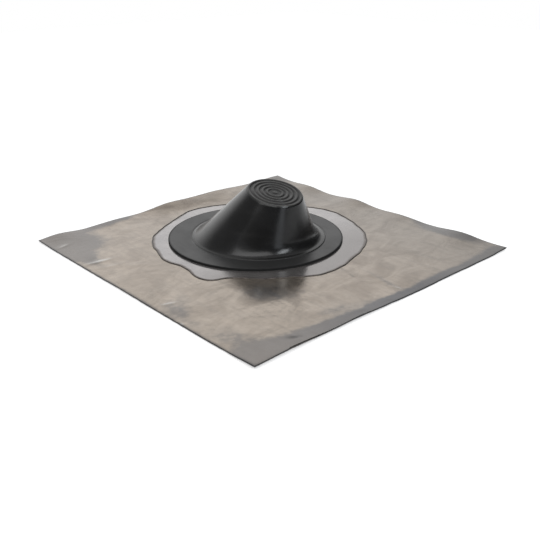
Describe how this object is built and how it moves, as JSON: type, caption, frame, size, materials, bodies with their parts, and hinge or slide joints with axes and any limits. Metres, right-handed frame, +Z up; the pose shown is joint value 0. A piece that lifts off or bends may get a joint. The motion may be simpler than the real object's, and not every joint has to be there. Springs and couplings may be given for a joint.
{
  "type": "pipe flashing boot",
  "caption": "Square lead roof sheet carrying a leaning rubber cone that seals round a pipe through the roof; rings on its closed crown guide the cut for each pipe size.",
  "frame": {"origin": "middle of the square sheet on its underside, which is the bottom centre of the bounding box", "axes": "+Z up, away from the roof; +Y up the roof slope, the way the cone leans; +X across the roof"},
  "size_m": [0.45, 0.45, 0.0848],
  "materials": {
    "lead": "dull milled roofing lead with a tan patina, stained and creased by handling",
    "coat": "thin dried film of grey bonding compound with a brown line at its edge",
    "rubber": "satin black moulded EPDM rubber"
  },
  "bodies": {
    "root": {"lead_sheet": "lead", "bonding_coat": "coat", "rubber_boot": "rubber"}
  },
  "joints": []
}
